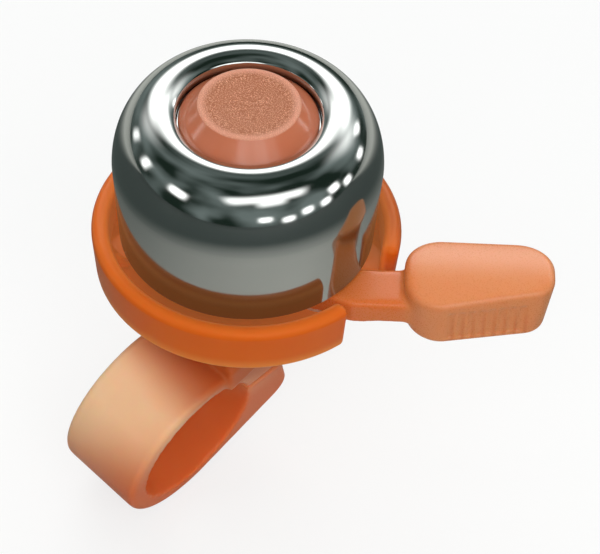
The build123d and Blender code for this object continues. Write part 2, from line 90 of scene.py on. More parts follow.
def pick_only(piece):
    """Leave one object selected and active, with nothing else selected."""
    bpy.ops.object.select_all(action="DESELECT")
    piece.select_set(True)
    bpy.context.view_layer.objects.active = piece


def welded_copy(node, name):
    """A copy of a CAD part with its loose triangles joined, so that it can be shaded smoothly."""
    pick_only(cad[node])
    bpy.ops.object.duplicate()
    piece = bpy.context.view_layer.objects.active
    piece.name = name
    del piece["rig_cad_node"]
    bpy.ops.object.mode_set(mode="EDIT")
    bpy.ops.mesh.select_all(action="SELECT")
    bpy.ops.mesh.remove_doubles(threshold=0.002 * mm)
    bpy.ops.object.mode_set(mode="OBJECT")
    return piece


def crisp_shading(piece, degrees):
    """Smooth shading that keeps flat faces flat and sharp corners sharp."""
    pick_only(piece)
    bpy.ops.object.shade_smooth_by_angle(angle=math.radians(degrees))
    bpy.ops.object.modifier_add(type="WEIGHTED_NORMAL")
    piece.modifiers[-1].keep_sharp = True
    bpy.ops.object.modifier_apply(modifier=piece.modifiers[-1].name)


def wear(piece, material):
    """Give a piece one material."""
    if not piece.material_slots:
        piece.data.materials.append(material)
    for place in piece.material_slots:
        place.material = material


def place_with(piece, body, slot, *nodes):
    """Hang a finished piece on its body and hide the CAD parts it stands for; slot is not used."""
    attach(piece, body)
    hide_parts(*nodes)


def group_of(name, inputs, outputs):
    """A new shader node group with its sockets."""
    group = bpy.data.node_groups.new(name, "ShaderNodeTree")
    for label, kind, value in inputs:
        socket = group.interface.new_socket(name=label, in_out="INPUT", socket_type=kind)
        if value is not None:
            socket.default_value = value
    for label in outputs:
        group.interface.new_socket(name=label, in_out="OUTPUT", socket_type="NodeSocketFloat")
    return group, group.nodes.new("NodeGroupInput"), group.nodes.new("NodeGroupOutput")


def noise_in(tree, vector, size, detail, roughness):
    """Noise whose grains are about the given size, in metres."""
    scaled = tree.nodes.new("ShaderNodeVectorMath")
    scaled.operation = "DIVIDE"
    spread = tree.nodes.new("ShaderNodeCombineXYZ")
    for axis in range(3):
        tree.links.new(size, spread.inputs[axis])
    tree.links.new(vector, scaled.inputs[0])
    tree.links.new(spread.outputs[0], scaled.inputs[1])
    noise = tree.nodes.new("ShaderNodeTexNoise")
    noise.inputs["Scale"].default_value = 1.0
    noise.inputs["Detail"].default_value = detail
    noise.inputs["Roughness"].default_value = roughness
    tree.links.new(scaled.outputs[0], noise.inputs["Vector"])
    return noise.outputs["Fac"]


def reckon(tree, operation, *values, clamp=False):
    """One sum among a tree's nodes; each value is a socket or a number."""
    node = tree.nodes.new("ShaderNodeMath")
    node.operation = operation
    node.use_clamp = clamp
    for place, value in zip(node.inputs, values):
        if isinstance(value, (int, float)):
            place.default_value = value
        else:
            tree.links.new(value, place)
    return node.outputs[0]


def slope(tree, value, low, high, smooth=True):
    """A mask that goes from 0, where the value is low, to 1, where it is high."""
    node = tree.nodes.new("ShaderNodeMapRange")
    if smooth:
        node.interpolation_type = "SMOOTHSTEP"
    node.inputs["From Min"].default_value = low
    node.inputs["From Max"].default_value = high
    tree.links.new(value, node.inputs["Value"])
    return node.outputs[0]


# Skin of a moulded part: a fine grain from the mould, and slow clouds where the dye flowed.
skin, skin_in, skin_out = group_of(
    "Moulded Skin",
    [("Vector", "NodeSocketVector", None), ("Grain Size", "NodeSocketFloat", 0.0003),
     ("Cloud Size", "NodeSocketFloat", 0.012)],
    ["Grain", "Cloud"])
skin.links.new(noise_in(skin, skin_in.outputs["Vector"], skin_in.outputs["Grain Size"], 3.0, 0.6),
               skin_out.inputs["Grain"])
skin.links.new(noise_in(skin, skin_in.outputs["Vector"], skin_in.outputs["Cloud Size"], 2.0, 0.5),
               skin_out.inputs["Cloud"])

# A soft ramp from 0 to 1 along a straight line through the object.
ramp, ramp_in, ramp_out = group_of(
    "Soft Ramp",
    [("Vector", "NodeSocketVector", None), ("Direction", "NodeSocketVector", (0.0, 0.0, 1.0)),
     ("From", "NodeSocketFloat", 0.0), ("To", "NodeSocketFloat", 0.01)],
    ["Mask"])
ramp_dot = ramp.nodes.new("ShaderNodeVectorMath")
ramp_dot.operation = "DOT_PRODUCT"
ramp_range = ramp.nodes.new("ShaderNodeMapRange")
ramp_range.interpolation_type = "SMOOTHSTEP"
ramp.links.new(ramp_in.outputs["Vector"], ramp_dot.inputs[0])
ramp.links.new(ramp_in.outputs["Direction"], ramp_dot.inputs[1])
ramp.links.new(ramp_dot.outputs["Value"], ramp_range.inputs["Value"])
ramp.links.new(ramp_in.outputs["From"], ramp_range.inputs["From Min"])
ramp.links.new(ramp_in.outputs["To"], ramp_range.inputs["From Max"])
ramp.links.new(ramp_range.outputs["Result"], ramp_out.inputs["Mask"])


class Finish:
    """A material being built: its tree, its shader, and the colour that feeds the shader."""

    def __init__(self, name):
        self.material = bpy.data.materials.new(name)
        self.material.use_nodes = True
        self.tree = self.material.node_tree
        self.shader = self.tree.nodes["Principled BSDF"]
        self.place = self.tree.nodes.new("ShaderNodeTexCoord").outputs["Object"]
        self.colour = None

    def set(self, **values):
        """Constants on the shader's own sockets, with _ for the spaces in their names."""
        for name, value in values.items():
            self.shader.inputs[name.replace("_", " ")].default_value = value

    def use(self, group, **values):
        """One of the shared groups, fed with the object's own coordinates."""
        node = self.tree.nodes.new("ShaderNodeGroup")
        node.node_tree = group
        self.tree.links.new(self.place, node.inputs["Vector"])
        for name, value in values.items():
            node.inputs[name.replace("_", " ")].default_value = value
        return node

    def mix(self, mask, other, amount=1.0):
        """Lay another colour over the present one where the mask is white."""
        blend = self.tree.nodes.new("ShaderNodeMix")
        blend.data_type = "RGBA"
        self.tree.links.new(reckon(self.tree, "MULTIPLY", mask, amount), blend.inputs["Factor"])
        if isinstance(self.colour, tuple):
            blend.inputs["A"].default_value = (*self.colour, 1.0)
        else:
            self.tree.links.new(self.colour, blend.inputs["A"])
        blend.inputs["B"].default_value = (*other, 1.0)
        self.colour = blend.outputs["Result"]
        self.tree.links.new(self.colour, self.shader.inputs["Base Color"])

    def vary(self, value, socket, low, high):
        """Drive one of the shader's sockets between two values; noise stays mostly in 0.3 to 0.7."""
        spread = self.tree.nodes.new("ShaderNodeMapRange")
        spread.inputs["From Min"].default_value = 0.3
        spread.inputs["From Max"].default_value = 0.7
        spread.inputs["To Min"].default_value = low
        spread.inputs["To Max"].default_value = high
        self.tree.links.new(value, spread.inputs["Value"])
        self.tree.links.new(spread.outputs[0], self.shader.inputs[socket])

    def reach(self):
        """How far a point is from the bell's axis."""
        flatten = self.tree.nodes.new("ShaderNodeVectorMath")
        flatten.operation = "MULTIPLY"
        flatten.inputs[1].default_value = (1.0, 1.0, 0.0)
        self.tree.links.new(self.place, flatten.inputs[0])
        measure = self.tree.nodes.new("ShaderNodeVectorMath")
        measure.operation = "DISTANCE"
        measure.inputs[1].default_value = (bell.x, bell.y, 0.0)
        self.tree.links.new(flatten.outputs[0], measure.inputs[0])
        return measure.outputs["Value"]

    def paint_shade_in_chrome(self, colour, amount):
        """Paint the plastic browner and darker where the dome mirrors it: painted shade in reflections
        only.
        """
        ray = self.tree.nodes.new("ShaderNodeLightPath")
        self.mix(ray.outputs["Is Glossy Ray"], colour, amount)

    def bump(self, height, strength, depth):
        """Relief of the given depth in metres."""
        relief = self.tree.nodes.new("ShaderNodeBump")
        relief.inputs["Strength"].default_value = strength
        relief.inputs["Distance"].default_value = depth
        self.tree.links.new(height, relief.inputs["Height"])
        previous = self.shader.inputs["Normal"].links
        if previous:
            self.tree.links.new(previous[0].from_socket, relief.inputs["Normal"])
        self.tree.links.new(relief.outputs[0], self.shader.inputs["Normal"])


dome_low, dome_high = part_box("dome")
bell = Vector(((dome_low.x + dome_high.x) / 2, (dome_low.y + dome_high.y) / 2, dome_low.z))
rim = bell.z + 1.0 * mm

guard_plastic = Finish("clear_orange")
guard_plastic.colour = (0.70, 0.095, 0.002)
guard_skin = guard_plastic.use(skin, Grain_Size=0.25 * mm, Cloud_Size=9 * mm)
guard_plastic.mix(guard_skin.outputs["Cloud"], (0.76, 0.14, 0.008), 0.8)
# Painted light: the wall is paler along its top rim.
guard_rim_light_painted = guard_plastic.use(ramp, From=rim - 1.6 * mm, To=rim + 0.1 * mm)
guard_plastic.mix(guard_rim_light_painted.outputs["Mask"], (0.76, 0.17, 0.025), 0.6)
# Painted light makes the wall paler along its lower edge, where light comes through, and painted shade
# makes its far side a deeper orange.
guard_low_light_painted = guard_plastic.use(ramp, Direction=(0, 0, -1), From=-(rim - 5.5 * mm), To=-(rim - 8.2 * mm))
guard_plastic.mix(guard_low_light_painted.outputs["Mask"], (0.92, 0.42, 0.10), 0.55)
guard_rear = Vector((-0.336, 0.945, 0.0))
guard_far_shade_painted = guard_plastic.use(ramp, Direction=guard_rear, From=bell.dot(guard_rear) + 1 * mm,
                               To=bell.dot(guard_rear) + 10 * mm)
guard_plastic.mix(guard_far_shade_painted.outputs["Mask"], (0.44, 0.085, 0.012), 0.85)
# Painted glow, an emission that stands for light coming through the plastic: a little in the wall, more on
# the inside and the floor.
guard_inside = slope(guard_plastic.tree, guard_plastic.reach(), 21.8 * mm, 21.2 * mm, smooth=False)
guard_glow_painted = guard_plastic.tree.nodes.new("ShaderNodeMix")
guard_glow_painted.data_type = "RGBA"
guard_glow_painted.inputs["A"].default_value = (0.045, 0.012, 0.0015, 1.0)
guard_glow_painted.inputs["B"].default_value = (0.17, 0.062, 0.018, 1.0)
guard_plastic.tree.links.new(guard_inside, guard_glow_painted.inputs["Factor"])
guard_plastic.tree.links.new(guard_glow_painted.outputs["Result"], guard_plastic.shader.inputs["Emission Color"])
# Painted shade: the guard is browner and darker where the dome mirrors it.
guard_plastic.paint_shade_in_chrome((0.16, 0.075, 0.035), 0.75)
guard_plastic.vary(guard_skin.outputs["Grain"], "Roughness", 0.28, 0.36)
guard_plastic.bump(guard_skin.outputs["Grain"], 0.25, 0.02 * mm)
guard_plastic.set(Subsurface_Weight=0.45, Subsurface_Radius=(1.0, 0.38, 0.12), Subsurface_Scale=2.2 * mm,
                  Specular_IOR_Level=0.4, Specular_Tint=(1.0, 0.60, 0.30, 1.0),
                  Emission_Strength=1.0)
guard = welded_copy("base", "guard_base")
crisp_shading(guard, 32)
wear(guard, guard_plastic.material)
place_with(guard, "bell_body", "orange_shell", "base")

# ---- Pivot of the lever
# A turned steel pin pressed into the base, a brass bush and a nylon washer that the lever turns on, and a
# spring-steel clip over it. The return spring is drawn wire, coiled round the pin, with its ends against
# the base and the lever; here it is one still piece, hung on neither.
marks, marks_in, marks_out = group_of(
    "Metal Marks",
    [("Vector", "NodeSocketVector", None), ("Line Size", "NodeSocketFloat", 0.0002),
     ("Smudge Size", "NodeSocketFloat", 0.006)],
    ["Lines", "Smudge"])
stretch = marks.nodes.new("ShaderNodeVectorMath")
stretch.operation = "MULTIPLY"
stretch.inputs[1].default_value = (1.0, 1.0, 0.06)
marks.links.new(marks_in.outputs["Vector"], stretch.inputs[0])
marks.links.new(noise_in(marks, stretch.outputs[0], marks_in.outputs["Line Size"], 4.0, 0.6),
                marks_out.inputs["Lines"])
marks.links.new(noise_in(marks, marks_in.outputs["Vector"], marks_in.outputs["Smudge Size"], 3.0, 0.55),
                marks_out.inputs["Smudge"])


def metal(name, clean, worn, roughness, relief):
    """Bare metal with fine working marks and slow smudges."""
    finish = Finish(name)
    finish.colour = clean
    pattern = finish.use(marks, Line_Size=0.2 * mm, Smudge_Size=4 * mm)
    finish.mix(pattern.outputs["Smudge"], worn, 0.7)
    finish.vary(pattern.outputs["Smudge"], "Roughness", roughness, roughness + 0.18)
    finish.bump(pattern.outputs["Lines"], relief, 0.01 * mm)
    finish.set(Metallic=1.0)
    return finish.material


bright_steel = metal("bright_steel", (0.62, 0.62, 0.60), (0.45, 0.45, 0.44), 0.18, 0.3)
blue_steel = metal("spring_steel", (0.42, 0.43, 0.46), (0.30, 0.31, 0.34), 0.24, 0.3)
yellow_brass = metal("yellow_brass", (0.80, 0.60, 0.28), (0.62, 0.44, 0.20), 0.20, 0.25)

natural_nylon = Finish("natural_nylon")
natural_nylon.colour = (0.78, 0.75, 0.66)
nylon_skin = natural_nylon.use(skin, Grain_Size=0.15 * mm, Cloud_Size=3 * mm)
natural_nylon.mix(nylon_skin.outputs["Cloud"], (0.70, 0.66, 0.55), 0.7)
natural_nylon.vary(nylon_skin.outputs["Grain"], "Roughness", 0.40, 0.55)
natural_nylon.bump(nylon_skin.outputs["Grain"], 0.3, 0.02 * mm)
natural_nylon.set(Subsurface_Weight=0.2, Subsurface_Radius=(1.0, 0.9, 0.7), Subsurface_Scale=0.8 * mm)

wear(cad["pivot_pin"], bright_steel)
wear(cad["pivot_clip"], blue_steel)
coiled_spring = welded_copy("return_spring", "coiled_spring")
bpy.ops.object.parent_clear(type="CLEAR_KEEP_TRANSFORM")
crisp_shading(coiled_spring, 40)
wear(coiled_spring, blue_steel)
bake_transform(coiled_spring)
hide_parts("return_spring")
wear(cad["pivot_bush"], yellow_brass)
wear(cad["pivot_washer"], natural_nylon.material)

# ---- Thumb lever
# A soft-edged moulded paddle with worn ribs on its near face, a neck that goes through the
# guard's opening, and a boss round the pin. The plastic is milky salmon, with painted shade at its root
# and in the rib grooves, and a faint painted glow.


def softened_copy(node, name, voxel, passes):
    """A copy of a CAD part remade in even faces with every edge eased, as soft plastic comes out."""
    piece = welded_copy(node, name)
    pick_only(piece)
    bpy.ops.object.modifier_add(type="REMESH")
    remesh = piece.modifiers[-1]
    remesh.mode = "VOXEL"
    remesh.voxel_size = voxel
    bpy.ops.object.modifier_apply(modifier=remesh.name)
    bpy.ops.object.modifier_add(type="SMOOTH")
    ease = piece.modifiers[-1]
    ease.factor = 0.5
    ease.iterations = passes
    bpy.ops.object.modifier_apply(modifier=ease.name)
    bpy.ops.object.shade_smooth()
    return piece


lever_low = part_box("lever")[0]
lever_heading = math.radians(40.0)
lever_out = Vector((math.cos(lever_heading), math.sin(lever_heading), 0.0))
lever_left = Vector((-lever_out.y, lever_out.x, 0.0))
lever_start = bell.dot(lever_out)
rib_pitch = 1.55 * mm
rib_count = 8
first_rib = 31.0 * mm        # from the bell's axis, along the lever
rib_top = 6.6 * mm           # over the pad's underside; the shade is full at rib_foot
rib_foot = 2.5 * mm
pad_near_side = 11 * mm      # from the bell's axis, across the lever
neck_from = 18 * mm
neck_to = 29 * mm
lever_plastic = Finish("milky_salmon")
lever_plastic.colour = (0.68, 0.215, 0.08)
lever_skin = lever_plastic.use(skin, Grain_Size=0.22 * mm, Cloud_Size=11 * mm)
lever_plastic.mix(lever_skin.outputs["Cloud"], (0.74, 0.285, 0.115), 0.7)
# Painted shade: a deeper orange at the lever's root, where it goes in under the guard.
lever_root_shade = lever_plastic.use(ramp, Direction=-lever_out, From=-(lever_start + 27 * mm),
                               To=-(lever_start + 22 * mm))
lever_plastic.mix(lever_root_shade.outputs["Mask"], (0.66, 0.13, 0.014), 0.85)
# Worn ribs: painted shade in each groove, on the lower part of the near side only.
rib_along = lever_plastic.tree.nodes.new("ShaderNodeVectorMath")
rib_along.operation = "DOT_PRODUCT"
rib_along.inputs[1].default_value = lever_out * (2 * math.pi / rib_pitch)
lever_plastic.tree.links.new(lever_plastic.place, rib_along.inputs[0])
rib_turn = 2 * math.pi * (lever_start + first_rib) / rib_pitch - math.pi / 2
rib_groove_shade = reckon(lever_plastic.tree, "SINE",
                  reckon(lever_plastic.tree, "SUBTRACT", rib_along.outputs["Value"], rib_turn))
for direction, none, full in (
        ((0.0, 0.0, 1.0), lever_low.z + rib_top, lever_low.z + rib_foot),
        (lever_out, lever_start + first_rib - rib_pitch, lever_start + first_rib),
        (lever_out, lever_start + first_rib + rib_count * rib_pitch,
         lever_start + first_rib + (rib_count - 1) * rib_pitch),
        (lever_left, bell.dot(lever_left) - pad_near_side, bell.dot(lever_left) - pad_near_side - 1 * mm)):
    limit = lever_plastic.use(ramp, Direction=direction, From=none, To=full)
    rib_groove_shade = reckon(lever_plastic.tree, "MULTIPLY", rib_groove_shade, limit.outputs["Mask"], clamp=True)
lever_plastic.mix(rib_groove_shade, (0.56, 0.13, 0.035), 0.55)
# Painted shade: the lever is browner and darker where the dome mirrors it.
lever_plastic.paint_shade_in_chrome((0.22, 0.10, 0.045), 0.6)
lever_plastic.vary(lever_skin.outputs["Grain"], "Roughness", 0.25, 0.32)
lever_plastic.bump(lever_skin.outputs["Grain"], 0.25, 0.02 * mm)
# A faint painted glow (emission) stands for light through the plastic.
lever_plastic.set(Subsurface_Weight=0.5, Subsurface_Radius=(1.0, 0.42, 0.18), Subsurface_Scale=2.0 * mm,
                  Specular_IOR_Level=0.6,
                  Emission_Color=(1.0, 0.42, 0.12, 1.0), Emission_Strength=0.06)
thumb_lever = softened_copy("lever", "thumb_lever", 0.2 * mm, 7)
# The neck is rounder than the rest, so it is eased more, fading out towards both its ends.
neck_zone = thumb_lever.vertex_groups.new(name="neck")
for corner in thumb_lever.data.vertices:
    reach = (corner.co - bell).dot(lever_out)
    if neck_from < reach < neck_to:
        share = min(1.0, (reach - neck_from) / (2 * mm), (neck_to - reach) / (3 * mm))
        neck_zone.add([corner.index], share, "REPLACE")
pick_only(thumb_lever)
bpy.ops.object.modifier_add(type="SMOOTH")
ease_neck = thumb_lever.modifiers[-1]
ease_neck.iterations = 45
ease_neck.vertex_group = neck_zone.name
bpy.ops.object.modifier_apply(modifier=ease_neck.name)
wear(thumb_lever, lever_plastic.material)
place_with(thumb_lever, "lever", "salmon_lever", "lever")

# ---- Striker
# A blued leaf spring riveted to the lever, with a brass hammer at its end, and a rubber stop
# pegged into the base.
black_rubber = Finish("black_rubber")
black_rubber.colour = (0.022, 0.022, 0.024)
rubber_skin = black_rubber.use(skin, Grain_Size=0.2 * mm, Cloud_Size=2 * mm)
black_rubber.mix(rubber_skin.outputs["Cloud"], (0.045, 0.045, 0.045), 0.8)
black_rubber.vary(rubber_skin.outputs["Grain"], "Roughness", 0.60, 0.80)
black_rubber.bump(rubber_skin.outputs["Grain"], 0.4, 0.04 * mm)
wear(cad["leaf_spring"], blue_steel)
wear(cad["leaf_rivets"], bright_steel)
wear(cad["hammer"], yellow_brass)
wear(cad["hammer_rivet"], bright_steel)
wear(cad["stop_bumper"], black_rubber.material)

# ---- Centre stack
# Sleeve, soft washer, steel washer, through bolt and nut, which hold the dome to the base.
wear(cad["post_sleeve"], bright_steel)
wear(cad["lower_dome_washer"], black_rubber.material)
wear(cad["upper_dome_washer"], bright_steel)
wear(cad["center_bolt"], bright_steel)
wear(cad["bolt_nut"], bright_steel)

# ---- Dome
# Steel sheet spun over a former and chromed: a wall that draws in a little towards its foot, an oval
# shoulder, a rounded crown ring, and a sunk seat for the button. The polish leaves faint marks.


def turned(name, profile, turns=160):
    """A closed shell turned about the bell's axis: each (radius, height) is a ring of edges,
    extruded from the one before, and the last ring is welded to the first."""
    bpy.ops.object.select_all(action="DESELECT")
    first_radius, first_height = profile[0]
    centre = Vector((bell.x, bell.y, bell.z + first_height))
    bpy.ops.mesh.primitive_circle_add(vertices=turns, radius=first_radius, location=centre)
    piece = bpy.context.view_layer.objects.active
    piece.name = name
    bpy.ops.object.transform_apply(location=True, rotation=True, scale=True)
    bpy.ops.object.mode_set(mode="EDIT")
    bpy.ops.mesh.select_all(action="SELECT")
    here = (first_radius, first_height)
    for radius, height in profile[1:] + profile[:1]:
        bpy.ops.mesh.extrude_region_move(
            TRANSFORM_OT_translate={"value": (0.0, 0.0, height - here[1])})
        share = radius / here[0]
        bpy.ops.transform.resize(value=(share, share, 1.0), center_override=(bell.x, bell.y, bell.z))
        here = (radius, height)
    bpy.ops.mesh.select_all(action="SELECT")
    bpy.ops.mesh.remove_doubles(threshold=0.002 * mm)
    bpy.ops.mesh.normals_make_consistent(inside=False)
    bpy.ops.object.mode_set(mode="OBJECT")
    return piece


def oval(centre_radius, centre_height, width, rise, first, last, steps):
    """Points on a quarter of an oval, from one angle to another."""
    angles = [math.radians(first + (last - first) * step / steps) for step in range(steps + 1)]
    return [(centre_radius + width * math.cos(a), centre_height + rise * math.sin(a)) for a in angles]


sheet = 0.9 * mm
shoulder_height = 13.5 * mm
shoulder_width = 7.0 * mm
crown = 24.0 * mm
ring_radius = 13.0 * mm
seat_radius = 10.6 * mm
seat_height = 21.4 * mm
crown_roll = 3.54 * mm       # radius of the crown's inner roll
inner_flat = 6.0 * mm        # a ring of edges half way across the seat
hole_radius = 2.15 * mm
foot_radius = 19.1 * mm
draw_in = 0.9 * mm           # the wall is this much narrower at its foot
dome_profile = [(foot_radius, 0.0)]
dome_profile += [(foot_radius + draw_in * step / 12, shoulder_height * step / 12) for step in range(1, 12)]
dome_profile += oval(ring_radius, shoulder_height, shoulder_width, crown - shoulder_height, 0, 90, 36)
dome_profile += oval(ring_radius, crown - crown_roll, crown_roll, crown_roll, 94, 130, 9)
dome_profile += [(seat_radius + 0.04 * mm, crown - 1.0 * mm),
                 (seat_radius, seat_height + 0.15 * mm), (seat_radius - 0.15 * mm, seat_height),
                 (inner_flat, seat_height), (hole_radius, seat_height), (hole_radius, seat_height - sheet),
                 (inner_flat, seat_height - sheet), (seat_radius + sheet, seat_height - sheet),
                 (ring_radius - 0.4 * mm, crown - sheet)]
dome_profile += oval(ring_radius, shoulder_height, shoulder_width - sheet,
                     crown - shoulder_height - sheet, 84, 0, 18)
dome_profile += [(foot_radius - sheet, 0.0)]

chrome = Finish("bright_chrome")
chrome.colour = (0.555, 0.565, 0.555)
chrome_marks = chrome.use(marks, Line_Size=0.12 * mm, Smudge_Size=7 * mm)
chrome.mix(chrome_marks.outputs["Smudge"], (0.50, 0.52, 0.51), 0.6)
chrome.vary(chrome_marks.outputs["Smudge"], "Roughness", 0.07, 0.11)
chrome.bump(chrome_marks.outputs["Lines"], 0.02, 0.004 * mm)
chrome.set(Metallic=1.0)
bell_dome = turned("bell_dome", dome_profile)
pick_only(bell_dome)
bpy.ops.object.shade_smooth_by_angle(angle=math.radians(34))
wear(bell_dome, chrome.material)
place_with(bell_dome, "bell_body", "chrome_steel", "dome")

# ---- Button
# A moulded cap pressed over the bolt's head: a glossy bevel, and a slightly sunk top with a
# frost grain inside a raised rim. Coral plastic; the top is painted darker as shade, its grain
# sparkles with painted highlights, and its rim carries a painted highlight.
cap_base = 21.55 * mm
cap_radius = 10.3 * mm
cap_face = 7.5 * mm
cap_top = cap_base + 3.6 * mm
cap_dish = 0.25 * mm
cap_wall = 1.3 * mm
cap_ceiling = cap_top - cap_wall
ceiling_radius = 6.6 * mm
socket_outer = 4.7 * mm
socket_inner = 3.5 * mm
near_axis = 0.02 * mm
cap_profile = [(near_axis, cap_top - cap_dish)]
cap_profile += [(cap_face * share, cap_top - cap_dish * (1 - share ** 2)) for share in
                (0.12, 0.25, 0.4, 0.55, 0.7, 0.82, 0.88)]
cap_profile += [(cap_face - 0.62 * mm, cap_top - 0.02 * mm), (cap_face - 0.35 * mm, cap_top),
                (cap_face - 0.12 * mm, cap_top - 0.04 * mm), (cap_face + 0.06 * mm, cap_top - 0.16 * mm),
                (cap_face + 0.16 * mm, cap_top - 0.32 * mm), (cap_radius - 0.30 * mm, cap_base + 0.78 * mm),
                (cap_radius - 0.14 * mm, cap_base + 0.62 * mm),
                (cap_radius - 0.03 * mm, cap_base + 0.45 * mm), (cap_radius, cap_base + 0.28 * mm),
                (cap_radius, cap_base), (cap_radius - cap_wall, cap_base),
                (cap_radius - cap_wall, cap_base + 0.4 * mm), (ceiling_radius, cap_ceiling),
                (socket_outer, cap_ceiling), (socket_outer, cap_base + 1.0 * mm),
                (socket_inner, cap_base + 1.0 * mm), (socket_inner, cap_ceiling),
                (near_axis, cap_ceiling)]

coral = Finish("coral_painted_sparkle")
coral.colour = (0.58, 0.17, 0.085)
coral_skin = coral.use(skin, Grain_Size=0.16 * mm, Cloud_Size=6 * mm)
coral.mix(coral_skin.outputs["Cloud"], (0.64, 0.22, 0.12), 0.6)
cap_reach = coral.reach()
cap_top_mask = slope(coral.tree, cap_reach, cap_face + 0.15 * mm, cap_face - 0.1 * mm)
cap_rim_highlight = slope(coral.tree, cap_reach, cap_face - 1.6 * mm, cap_face - 0.3 * mm)
speck_noise = coral.use(skin, Grain_Size=0.14 * mm, Cloud_Size=0.32 * mm)
painted_sparkle_mask = slope(coral.tree, speck_noise.outputs["Grain"], 0.50, 0.66, smooth=False)
frost_and_painted_sparkle = reckon(coral.tree, "MULTIPLY", cap_top_mask, painted_sparkle_mask)
# Painted light on the top: it is painted darker as shade, its grains are painted sparkle, and its raised
# rim has a painted highlight.
coral.mix(cap_top_mask, (0.36, 0.095, 0.024), 0.92)
coral.mix(frost_and_painted_sparkle, (1.0, 0.52, 0.34), 0.9)
coral.mix(reckon(coral.tree, "MULTIPLY", cap_top_mask, cap_rim_highlight), (0.95, 0.45, 0.32), 0.5)
gloss = coral.tree.nodes.new("ShaderNodeMapRange")
gloss.inputs["To Min"].default_value = 0.13
gloss.inputs["To Max"].default_value = 0.46
coral.tree.links.new(cap_top_mask, gloss.inputs["Value"])
coral.tree.links.new(gloss.outputs[0], coral.shader.inputs["Roughness"])
coral.bump(frost_and_painted_sparkle, 0.6, 0.05 * mm)
coral.set(Subsurface_Weight=0.3, Subsurface_Radius=(1.0, 0.4, 0.25), Subsurface_Scale=1.2 * mm)
button = turned("button", cap_profile, 128)
crisp_shading(button, 40)
wear(button, coral.material)
place_with(button, "bell_body", "coral_plastic", "button_cap")

# ---- Clamp strap
# A flexible band that wraps the handlebar, split between two ears at the far side, with a block on
# top that the base sits on. Soft peach plastic, painted pale where light passes through and redder
# where shade falls.
strap_plastic = Finish("soft_peach")
strap_plastic.colour = (0.97, 0.63, 0.39)
strap_skin = strap_plastic.use(skin, Grain_Size=0.3 * mm, Cloud_Size=10 * mm)
strap_plastic.mix(strap_skin.outputs["Cloud"], (0.92, 0.50, 0.27), 0.8)
# Painted shade: redder towards the foot, and deep red at the head, under the guard.
strap_foot_shade = strap_plastic.use(ramp, Direction=(0.40, 0.0, -1.0), From=-9 * mm, To=6 * mm)
strap_plastic.mix(strap_foot_shade.outputs["Mask"], (0.70, 0.12, 0.018), 0.95)
strap_head_shade = strap_plastic.use(ramp, Direction=(0.30, 0.40, 0.85), From=7 * mm, To=14 * mm)
strap_plastic.mix(strap_head_shade.outputs["Mask"], (0.50, 0.085, 0.008), 0.95)
strap_plastic.vary(strap_skin.outputs["Grain"], "Roughness", 0.30, 0.38)
strap_plastic.bump(strap_skin.outputs["Grain"], 0.25, 0.02 * mm)
strap_plastic.set(Subsurface_Weight=0.6, Subsurface_Radius=(1.0, 0.45, 0.2), Subsurface_Scale=2.5 * mm,
                  Specular_IOR_Level=0.45, Specular_Tint=(1.0, 0.8, 0.6, 1.0))
clamp_band = softened_copy("clamp_strap", "clamp_band", 0.3 * mm, 10)
wear(clamp_band, strap_plastic.material)
place_with(clamp_band, "bell_body", "peach_strap", "clamp_strap")

# ---- Clamp screw
# A cross-head screw through the two ears, with its washer and its captive nut.
for name in ("clamp_screw", "clamp_washer", "clamp_nut"):
    wear(cad[name], bright_steel)

# ---- Table, lamps and camera
# A plain pale table in a dim room. Two wide lamps light the plastic from in front and above; the
# chrome shows soft windows instead: a broad one behind the bell, a long one and small ones in front.
heading = math.radians(40.0)
aside = Vector((math.cos(heading), math.sin(heading), 0.0))
away = Vector((-math.sin(heading), math.cos(heading), 0.0))
centre = Vector((bell.x, bell.y, rim))

bpy.ops.object.select_all(action="DESELECT")
bpy.ops.mesh.primitive_plane_add(size=6.0, location=(bell.x, bell.y, cad_low.z - 0.1 * mm))
table = bpy.context.view_layer.objects.active
table.name = "table"
paper = Finish("pale_paper")
paper.colour = (0.90, 0.90, 0.89)
paper_skin = paper.use(skin, Grain_Size=0.5 * mm, Cloud_Size=60 * mm)
paper.mix(paper_skin.outputs["Cloud"], (0.87, 0.87, 0.86), 0.5)
paper.vary(paper_skin.outputs["Grain"], "Roughness", 0.75, 0.85)
paper.bump(paper_skin.outputs["Grain"], 0.1, 0.02 * mm)
# To the camera the paper is pale and shines a little. To the chrome it is greyer, and it falls to
# dark away from the bell, except far behind it.
seen = paper.tree.nodes.new("ShaderNodeLightPath")
to_camera = seen.outputs["Is Camera Ray"]
paper_reach = paper.tree.nodes.new("ShaderNodeVectorMath")
paper_reach.operation = "DISTANCE"
paper_reach.inputs[1].default_value = (bell.x + 30 * mm, bell.y - 35 * mm, cad_low.z)
paper.tree.links.new(paper.place, paper_reach.inputs[0])
paper_fall = slope(paper.tree, paper_reach.outputs["Value"], 0.0, 118 * mm)
paper_behind = paper.use(ramp, Direction=away, From=bell.dot(away) + 60 * mm, To=bell.dot(away) + 150 * mm)
paper_dark = reckon(paper.tree, "SUBTRACT", paper_fall, to_camera, clamp=True)
paper_dark = reckon(paper.tree, "SUBTRACT", paper_dark, paper_behind.outputs["Mask"], clamp=True)
paper.mix(reckon(paper.tree, "SUBTRACT", 1.0, to_camera), (0.60, 0.60, 0.56), 1.0)
paper.mix(paper_dark, (0.05, 0.065, 0.06), 1.0)
paper_light = paper.tree.nodes.new("ShaderNodeEmission")
paper_light.inputs["Color"].default_value = (1.0, 1.0, 1.0, 1.0)
paper_light.inputs["Strength"].default_value = 1.0
paper_mix = paper.tree.nodes.new("ShaderNodeMixShader")
paper.tree.links.new(reckon(paper.tree, "MULTIPLY", to_camera, 0.75), paper_mix.inputs["Fac"])
